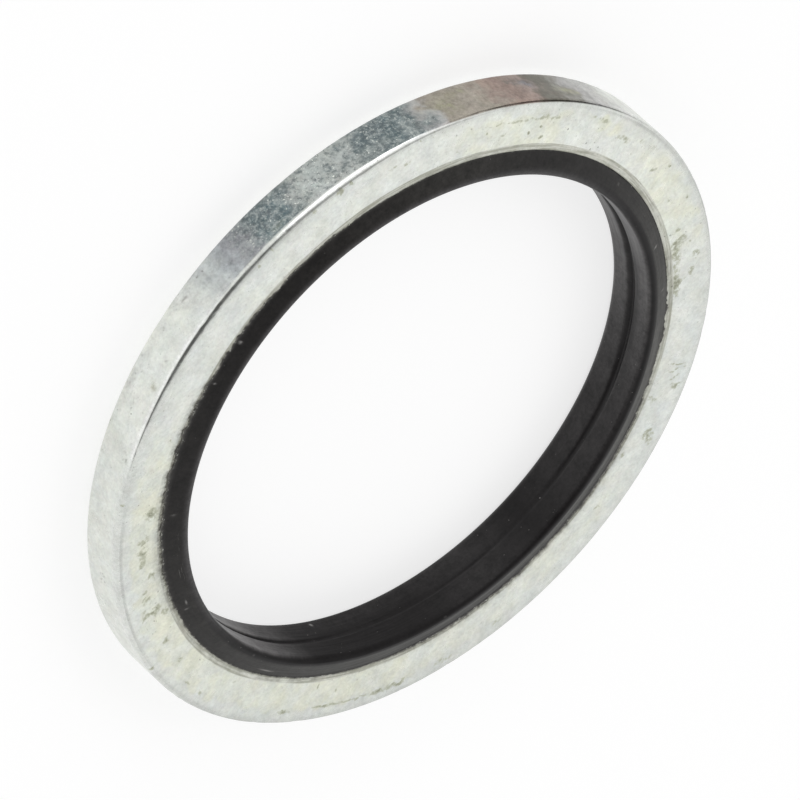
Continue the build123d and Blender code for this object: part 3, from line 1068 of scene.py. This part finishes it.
# How strongly each effect shows where its mask or pattern is full
STRENGTHS = {
    "roll": 0.6, "painted_sparkle": 0.92, "scars": 0.58, "pinholes": 0.30, "smear": 0.72, "smudge": 0.58,
    "dirt": 0.94, "grit": 0.85, "holes": 0.90, "motes": 0.6, "lint": 0.4, "scratches": 0.55,
}
# Tints of the face: how much of each shows all over its own zones, how much its patches bring anywhere,
# and the tint in linear red, green and blue
PATCHES = {
    "warm": (0.42, 0.15, (0.738, 0.750, 0.618)),
    "cool": (0.30, 0.12, (0.692, 0.728, 0.720)),
}
# How much more the patches bring inside the zones
PATCHES_GAIN = 0.35
# Grit in the slate stain: noise, the levels it fades between, strength, tint
SLATE_GRIT = (
    ("drift", 0.48, 0.68, 0.50, (0.43, 0.47, 0.46)),
    ("drift", 0.50, 0.32, 0.50, (0.120, 0.155, 0.163)),
    ("sand", 0.46, 0.66, 0.85, (0.50, 0.54, 0.52)),
    ("sand", 0.50, 0.34, 0.70, (0.100, 0.125, 0.133)),
)
# How much each of these changes the roughness where it is full, and how it stands out in the relief
GLOSS = {"worn": 0.25, "edge": 0.15, "dull": 0.28, "dust": 0.3}
RELIEF = {"swell": 1.2, "worn": 1.4, "rubber lines": 1.5, "dust": 2.0}
# Strength and depth of the relief
ZINC_BUMP = {"Strength": 0.5, "Distance": 0.004 * MM}
RUBBER_BUMP = {"Strength": 0.35, "Distance": 0.006 * MM}
# Tints in linear red, green and blue
ROLL_TINT = (0.722, 0.744, 0.705)
LAND_DARK, LAND_LIGHT = (0.405, 0.408, 0.345), (0.615, 0.623, 0.560)
PAINTED_SPARKLE_TINT = (0.90, 0.93, 0.86)
DIRT_TINT = (0.055, 0.052, 0.042)
HOLE_TINT = (0.56, 0.57, 0.51)


def plating_material(colours):
    """Satin zinc: pale, mottled yellow-green and blue, pitted, stained and streaked round the wall, with
    painted highlights, sparkle, shade and reflection.
    """
    material, n, shader = new_material("zinc_plating")
    spot = n.group("washer_place", "Millimetres")
    streak = n.group("washer_place", "Round", Stretch=10.0, Pitch=9.0)
    noise = {name: n.noise(spot, *NOISES[name]) for name in (
        "sand", "drift", "ragged", "crumbs", "grain", "swell")}
    fleck = {name: n.flecks(spot, *FLECKS[name]) for name in ("painted_sparkle", "pits", "pinholes", "grit")}

    # Large soft patches of yellow-green and blue, then the rolled edge, the painted shade of the rounded
    # edges, the painted reflection level and the painted highlight along the edge
    face = colours.plating
    for name, (all_over, anywhere, tint) in PATCHES.items():
        cloud = n.clouds(spot, *CLOUDS[name])
        inside = n.share(cloud, PATCHES_GAIN, all_over)
        cover = n.share(n.mask(name), inside, n.times(cloud, anywhere))
        face = n.tint(cover, face, tint)
    face = n.tint(n.times(n.mask("roll"), STRENGTHS["roll"]), face, ROLL_TINT)
    face = n.tint(n.mask("edge"), face, colours.edge)
    face = n.tint(1.0, face, n.mask("level"), mode="MULTIPLY")
    chipped = n.share(n.clouds(spot, *CLOUDS["chipped"]), *GAINS["chipped"])
    face = n.tint(n.times(n.mask("painted_edge_highlight"), chipped), face, colours.painted_highlight)

    # Strip that the mould closed on
    lines = n.clouds(n.group("washer_place", "Round", Stretch=8.0, Pitch=9.0), *CLOUDS["lines"])
    face = n.tint(n.mask("land"), face, n.tint(lines, LAND_DARK, LAND_LIGHT))

    # Stains of the wall, which also paint in its darker reflection, the mottle, which is stronger on them,
    # grit in the slate and painted sparkle
    stain = n.add("Attribute", {}, attribute_name="stain")
    gritty = n.mask("gritty")
    face = n.tint(stain["Alpha"], face, stain["Color"])
    grainy = n.share(stain["Alpha"], *GAINS["mottle on stains"])
    face = n.tint(1.0, face, n.group("washer_mottle", "Value", Vector=spot, Amount=grainy), mode="MULTIPLY")
    face = n.tint(1.0, face, n.group("washer_mottle", "Hue", Vector=spot, Amount=1.0), mode="MULTIPLY")
    for name, low, high, strength, tint in SLATE_GRIT:
        face = n.tint(n.times(n.fade(noise[name], low, high), gritty, strength), face, tint)
    # Painted sparkle: bright specks that stand in for glints in the slate stain
    painted_sparkle = n.times(fleck["painted_sparkle"], n.fade(noise["drift"], *FADES["painted_sparkle"]))
    face = n.tint(n.times(painted_sparkle, gritty, STRENGTHS["painted_sparkle"]), face, PAINTED_SPARKLE_TINT)

    # Pits, scars and grey-olive marks
    scars = n.calc("MAXIMUM", fleck["pits"], n.flecks(streak, *FLECKS["scars"]))
    patches = n.share(n.clouds(spot, *CLOUDS["worn"]), *GAINS["worn"])
    scars = n.times(scars, patches, STRENGTHS["scars"])
    worn = n.calc("MAXIMUM", scars, n.times(fleck["pinholes"], STRENGTHS["pinholes"]))
    worn = n.times(worn, n.mask("tired"))
    grown = n.times(n.mask("marks"), n.share(noise["ragged"], *GAINS["ragged"]))
    for name in ("smear", "smudge"):
        cover = n.times(n.fade(grown, *FADES[name]), STRENGTHS[name])
        face = n.tint(cover, face, getattr(colours, name))
    face = n.tint(worn, face, colours.grime)

    # Dirt beside the rubber
    dirt = n.mask("dirt")
    dirty = n.times(dirt, n.fade(noise["crumbs"], *FADES["crumbs"]))
    face = n.tint(n.calc("MINIMUM", dirty, STRENGTHS["dirt"]), face, DIRT_TINT)
    grit = n.times(fleck["grit"], n.fade(dirt, *FADES["grit"]), STRENGTHS["grit"])
    face = n.tint(grit, face, DIRT_TINT)

    # Gloss, which pits and scars dull and the rounded edge keeps, and relief
    rough = n.calc("ADD", n.fade(noise["swell"], *FADES["zinc gloss"]), n.times(worn, GLOSS["worn"]))
    rough = n.calc("SUBTRACT", rough, n.times(n.mask("edge"), GLOSS["edge"]), clamp=True)
    height = n.calc("ADD", noise["grain"], n.times(noise["swell"], RELIEF["swell"]))
    height = n.calc("SUBTRACT", height, n.times(worn, RELIEF["worn"]))
    height = n.calc("ADD", height, n.times(painted_sparkle, gritty))
    bump = n.add("Bump", {"Height": height, **ZINC_BUMP})["Normal"]
    n.fill(shader, {"Base Color": face, "Roughness": rough, "Normal": bump, "Metallic": 1.0})
    return material


def rubber_material(colours):
    """Moulded black rubber: satin, faintly streaked round the bore, scuffed, with scattered dust and a
    painted grey sheen.
    """
    material, n, shader = new_material("black_rubber")
    spot = n.group("washer_place", "Millimetres")
    streak = n.group("washer_place", "Round", Stretch=5.0, Pitch=11.0)
    skin = colours.rubber
    # Painted grey sheen on the flank and in the bore, then the thin film's own grey
    for name, tint in (("painted_flank_sheen", colours.painted_flank_sheen), ("painted_bore_sheen", colours.bore_sheen_grey), ("thin", colours.thin)):
        skin = n.tint(n.mask(name), skin, tint)
    holes = n.times(n.flecks(spot, *FLECKS["holes"]), n.fade(n.mask("thin"), *FADES["holes"]))
    skin = n.tint(n.times(holes, STRENGTHS["holes"]), skin, HOLE_TINT)
    skin = n.tint(1.0, skin, n.group("washer_mottle", "Value", Vector=spot, Amount=4.0), mode="MULTIPLY")
    motes, lint = (n.times(n.flecks(spot, *FLECKS[name]), STRENGTHS[name]) for name in ("motes", "lint"))
    scratches = n.times(n.flecks(streak, *FLECKS["scratches"]), n.mask("scuffed"), STRENGTHS["scratches"])
    dusty = n.calc("MAXIMUM", n.calc("MAXIMUM", motes, lint), scratches)
    dusty = n.calc("MAXIMUM", dusty, n.mask("dust"), clamp=True)
    skin = n.tint(dusty, skin, colours.dust)
    lines, grain = (n.noise(where, *NOISES[name]) for where, name in (
        (streak, "rubber lines"), (spot, "rubber grain")))
    rough = n.share(n.mask("dull"), GLOSS["dull"], n.fade(lines, *FADES["rubber gloss"]))
    rough = n.calc("ADD", rough, n.times(dusty, GLOSS["dust"]), clamp=True)
    height = n.calc("ADD", n.times(lines, RELIEF["rubber lines"]), grain)
    height = n.calc("ADD", height, n.times(dusty, RELIEF["dust"]))
    bump = n.add("Bump", {"Height": height, **RUBBER_BUMP})["Normal"]
    n.fill(shader, {"Base Color": skin, "Roughness": rough, "Normal": bump, "IOR": 1.5,
                    "Specular IOR Level": 0.19})
    return material


# ---------------------------------------------------------------- studio

# Viewing angle: elevation above the floor, and how far the camera is rolled about its line of sight
CAMERA_ELEVATION = math.radians(35.88)
CAMERA_ROLL = math.radians(132.32)
# Where the centre of the upper face stands in the camera's own frame: right, down and ahead
FACE_RIGHT, FACE_DOWN, FACE_AHEAD = 0.855 * MM, 0.743 * MM, 624.9 * MM
LENS_MM = 598.3
SENSOR_MM = 36.0
CLIP_METRES = (0.01, 20.0)


def direction(azimuth, elevation):
    """Unit vector of an azimuth, anticlockwise from +X, and an elevation, in degrees."""
    a, e = math.radians(azimuth), math.radians(elevation)
    return (math.cos(a) * math.cos(e), math.sin(a) * math.cos(e), math.sin(e))


def add_camera(face_height):
    """Camera that looks down on the washer along +Y, rolled about its line of sight."""
    ahead = np.array(direction(90, -math.degrees(CAMERA_ELEVATION)))
    level = np.array([1.0, 0.0, 0.0])
    steep = np.cross(ahead, level)
    right = math.cos(CAMERA_ROLL) * level - math.sin(CAMERA_ROLL) * steep
    down = math.sin(CAMERA_ROLL) * level + math.cos(CAMERA_ROLL) * steep
    place = np.array([0.0, 0.0, face_height]) - FACE_RIGHT * right - FACE_DOWN * down - FACE_AHEAD * ahead
    lens = bpy.data.cameras.new("camera")
    lens.sensor_width = SENSOR_MM
    lens.lens = LENS_MM
    lens.clip_start, lens.clip_end = CLIP_METRES
    camera = bpy.data.objects.new("camera", lens)
    matrix = np.eye(4)
    matrix[:3, 0], matrix[:3, 1], matrix[:3, 2], matrix[:3, 3] = right, -down, -ahead, place
    camera.matrix_world = Matrix(matrix.tolist())
    bpy.context.scene.collection.objects.link(camera)
    bpy.context.scene.camera = camera


# Half the floor's side in metres, its vertices along a side, and how strongly it glows
FLOOR_REACH = 3.0
FLOOR_VERTICES = 13
FLOOR_GLOW = 0.70


def add_floor(colours):
    """Plain pale floor: a flat grid of squares."""
    side = np.linspace(-FLOOR_REACH, FLOOR_REACH, FLOOR_VERTICES)
    x, y = np.meshgrid(side, side)
    points = np.stack([x, y, 0 * x], -1).reshape(-1, 3)
    count = len(side)
    row, column = np.meshgrid(np.arange(count - 1), np.arange(count - 1), indexing="ij")
    first = row * count + column
    squares = np.stack([first, first + 1, first + count + 1, first + count], -1).reshape(-1, 4)
    mesh = bpy.data.meshes.new("floor")
    mesh.from_pydata(points.tolist(), [], squares.tolist())
    material, n, shader = new_material("pale_floor")
    n.fill(shader, {"Base Color": colours.floor, "Roughness": 0.9, "Specular IOR Level": 0.0,
                    "Emission Color": (1.0, 1.0, 1.0), "Emission Strength": FLOOR_GLOW})
    mesh.materials.append(material)
    floor = bpy.data.objects.new("floor", mesh)
    bpy.context.scene.collection.objects.link(floor)


# Level of the studio's dome, and its soft areas: azimuth, elevation, inner and outer half-angle, level
DOME_LEVEL = 0.97
DOME_AREAS = (
    (165.0, 78.0, 10.0, 30.0, 0.45),
    (284.0, 62.0, 12.0, 30.0, 0.16),
    (297.0, 32.0, 14.0, 32.0, 0.12),
    (316.0, 8.0, 8.0, 26.0, 0.16),
    (166.0, 1.0, 18.0, 36.0, 0.19),
    (232.0, 3.0, 15.0, 29.0, 2.3),
)


def add_dome():
    """Pale dome of light with soft darker and lighter areas, worked out from the direction alone."""
    world = bpy.data.worlds.new("studio_dome")
    world.use_nodes = True
    n = Nodes(world.node_tree)
    n.tree.nodes.clear()
    toward = n.add("TexCoord", {})["Generated"]
    level = DOME_LEVEL
    for azimuth, elevation, inner, outer, amount in DOME_AREAS:
        along = n.vector("DOT_PRODUCT", toward, direction(azimuth, elevation))
        inside = n.fade(along, math.cos(math.radians(outer)), math.cos(math.radians(inner)))
        level = n.calc("MULTIPLY_ADD", inside, n.calc("SUBTRACT", amount, level), level)
    background = n.add("Background", {"Color": (1.0, 1.0, 1.0), "Strength": level})
    n.add("OutputWorld", {"Surface": background["Background"]})
    bpy.context.scene.world = world


# ---------------------------------------------------------------- operators and panel

class WASHER_OT_ring(bpy.types.Operator):
    """Add the plated steel ring"""

    bl_idname = "washer.ring"
    bl_label = "Steel Ring"

    def execute(self, context):
        size, colours = context.scene.washer_ring, context.scene.washer_finish
        turn, r, z, part = ring_surface(size)
        masks = ring_masks(turn, r, z, part, size, colours)
        r, z = hammered(turn, r, z, part, size.outer_radius)
        make_piece("plated_ring", r, z, turn, masks, plating_material(colours), "steel_ring")
        return {"FINISHED"}


class WASHER_OT_seal(bpy.types.Operator):
    """Add the moulded rubber seal"""

    bl_idname = "washer.seal"
    bl_label = "Rubber Seal"

    def execute(self, context):
        size, ring = context.scene.washer_seal, context.scene.washer_ring
        turn, r, z = seal_surface(size, ring)
        masks = seal_masks(turn, r, z, size, ring)
        material = rubber_material(context.scene.washer_finish)
        make_piece("moulded_seal", r, z, turn, masks, material, "rubber_seal")
        return {"FINISHED"}


class WASHER_OT_studio(bpy.types.Operator):
    """Add the floor, the light and the camera"""

    bl_idname = "washer.studio"
    bl_label = "Studio"

    def execute(self, context):
        add_floor(context.scene.washer_finish)
        add_dome()
        add_camera(context.scene.washer_ring.upper_face)
        context.scene.view_settings.view_transform = "Standard"
        return {"FINISHED"}


class WASHER_PT_panel(bpy.types.Panel):
    """Sizes, colours and buttons of the sealing washer"""

    bl_idname = "WASHER_PT_panel"
    bl_label = "Sealing Washer"
    bl_space_type = "VIEW_3D"
    bl_region_type = "UI"
    bl_category = "Washer"

    def draw(self, context):
        for group in SETTINGS:
            box = self.layout.box()
            for name in SETTINGS[group].__annotations__:
                box.prop(getattr(context.scene, group), name)
        for operator in OPERATORS:
            self.layout.operator(operator.bl_idname)


SETTINGS = {"washer_ring": RingSizes, "washer_seal": SealSizes, "washer_finish": FinishColours}
OPERATORS = (WASHER_OT_ring, WASHER_OT_seal, WASHER_OT_studio)


def register():
    """Registers the classes and hangs the settings on the scene."""
    for cls in (*SETTINGS.values(), *OPERATORS, WASHER_PT_panel):
        bpy.utils.register_class(cls)
    for name, cls in SETTINGS.items():
        setattr(bpy.types.Scene, name, PointerProperty(type=cls))


def unregister():
    """Takes the settings and classes away again."""
    for name in SETTINGS:
        delattr(bpy.types.Scene, name)
    for cls in (WASHER_PT_panel, *reversed(OPERATORS), *reversed(tuple(SETTINGS.values()))):
        bpy.utils.unregister_class(cls)


def main():
    """Builds the washer and the studio."""
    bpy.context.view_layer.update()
    register()
    bpy.ops.washer.ring()
    bpy.ops.washer.seal()
    bpy.ops.washer.studio()


if __name__ == "__main__":
    main()
